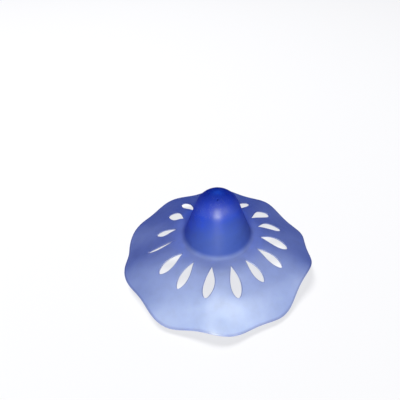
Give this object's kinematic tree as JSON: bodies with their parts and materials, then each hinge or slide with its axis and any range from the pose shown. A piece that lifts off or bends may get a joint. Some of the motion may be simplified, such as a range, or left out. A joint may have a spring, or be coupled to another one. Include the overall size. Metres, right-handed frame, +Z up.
{
  "type": "flexible drain cap with dosing block",
  "caption": "Soft domed drain cap with a wavy scalloped brim and drain petals, holding a solid dosing block in its dome.",
  "frame": {"origin": "on the surface that the cap stands on, straight below the dome's axis", "axes": "+Z up along the dome's axis; +X to the right and +Y to the back, with the viewer at -Y"},
  "size_m": [0.1637, 0.1685, 0.0761],
  "materials": {
    "frosted_silicone": "frosted satin, slightly see-through",
    "pressed_block": "matt, finely grained"
  },
  "bodies": {
    "block": {"dosing_block": "pressed_block"},
    "cap": {"silicone_cap": "frosted_silicone"}
  },
  "joints": [
    {"name": "cap_lift", "type": "slide", "parent": "block", "child": "cap", "axis": [0, 0, 1], "range_m": [0, 0.08]}
  ]
}
